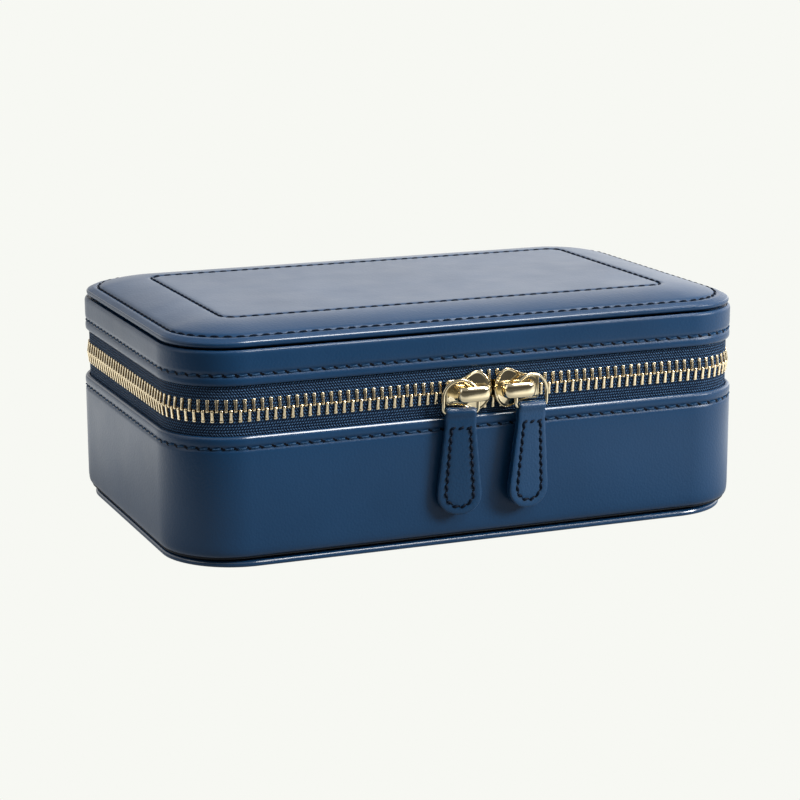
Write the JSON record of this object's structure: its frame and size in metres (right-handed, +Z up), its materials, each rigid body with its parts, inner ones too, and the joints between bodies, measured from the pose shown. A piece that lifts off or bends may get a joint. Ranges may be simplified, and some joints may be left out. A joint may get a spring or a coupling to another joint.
{
  "type": "jewellery case",
  "caption": "Navy leather travel jewellery case with a padded lid, wrap-round gold zip, paired sliders and stitched leather pulls.",
  "frame": {"origin": "centre of the flat base, where the case rests", "axes": "+X along the long side to the right, +Y from the front to the hinge at the back, +Z up"},
  "size_m": [0.167, 0.1114, 0.0626],
  "materials": {
    "leather": "smooth navy calf leather, semi-matt",
    "leather_pull": "smooth navy calf leather, semi-matt",
    "tape": "navy woven zip tape",
    "gold": "polished pale gold plating",
    "board": "grey-brown rigid board",
    "foam": "thin padding",
    "lining": "soft beige microsuede",
    "mirror": "silvered glass"
  },
  "bodies": {
    "case": {"base_board": "board", "base_leather": "leather", "body_frame": "board", "body_leather": "leather", "body_inner_rim": "leather", "body_wall_lining": "lining", "floor_pad": "lining", "divider_long": "lining", "divider_rear": "lining", "divider_front": "lining", "ring_roll_1": "lining", "ring_roll_2": "lining", "ring_roll_3": "lining", "ring_roll_4": "lining", "ring_roll_5": "lining", "zip_tape_lower": "tape", "zip_teeth_lower": "gold", "zip_stops_lower": "gold", "hinge_leather": "leather", "hinge_lining": "lining"},
    "lid": {"lid_frame": "board", "lid_band_leather": "leather", "lid_panel_board": "board", "lid_padding": "foam", "lid_panel_leather": "leather", "lid_inner_rim": "leather", "lid_wall_lining": "lining", "lid_ceiling_lining": "lining", "mirror": "mirror", "mirror_bezel": "leather", "zip_tape_upper": "tape", "zip_teeth_upper": "gold", "zip_stops_upper": "gold"},
    "slider_left": {"slider_body_left": "gold", "slider_bridge_left": "gold"},
    "ring_left": {"pull_ring_left": "gold"},
    "pull_left": {"leather_pull_left": "leather_pull"},
    "slider_right": {"slider_body_right": "gold", "slider_bridge_right": "gold"},
    "ring_right": {"pull_ring_right": "gold"},
    "pull_right": {"leather_pull_right": "leather_pull"}
  },
  "joints": [
    {"name": "lid_hinge", "type": "hinge", "parent": "case", "child": "lid", "pos_m": [0, 0.0527, 0.0416], "axis": [-1, 0, 0], "range_deg": [0, 100], "deforming": ["hinge_leather", "hinge_lining"]},
    {"name": "slider_left_slide", "type": "slide", "parent": "case", "child": "slider_left", "axis": [-1, 0, 0], "range_m": [0, 0.052]},
    {"name": "ring_left_swing", "type": "hinge", "parent": "slider_left", "child": "ring_left", "pos_m": [-0.00675, -0.05567, 0.0416], "axis": [0, 1, 0], "range_deg": [-5, 90]},
    {"name": "pull_left_lift", "type": "hinge", "parent": "ring_left", "child": "pull_left", "pos_m": [-0.00683, -0.05566, 0.0367], "axis": [-0.9847, 0.1736, 0.0175], "range_deg": [0, 110]},
    {"name": "slider_right_slide", "type": "slide", "parent": "case", "child": "slider_right", "axis": [1, 0, 0], "range_m": [0, 0.047]},
    {"name": "ring_right_swing", "type": "hinge", "parent": "slider_right", "child": "ring_right", "pos_m": [0.0137, -0.05567, 0.0416], "axis": [0, -1, 0], "range_deg": [-5, 90]},
    {"name": "pull_right_lift", "type": "hinge", "parent": "ring_right", "child": "pull_right", "pos_m": [0.0135, -0.0557, 0.0367], "axis": [-0.9917, -0.1218, 0.0419], "range_deg": [0, 110]}
  ]
}
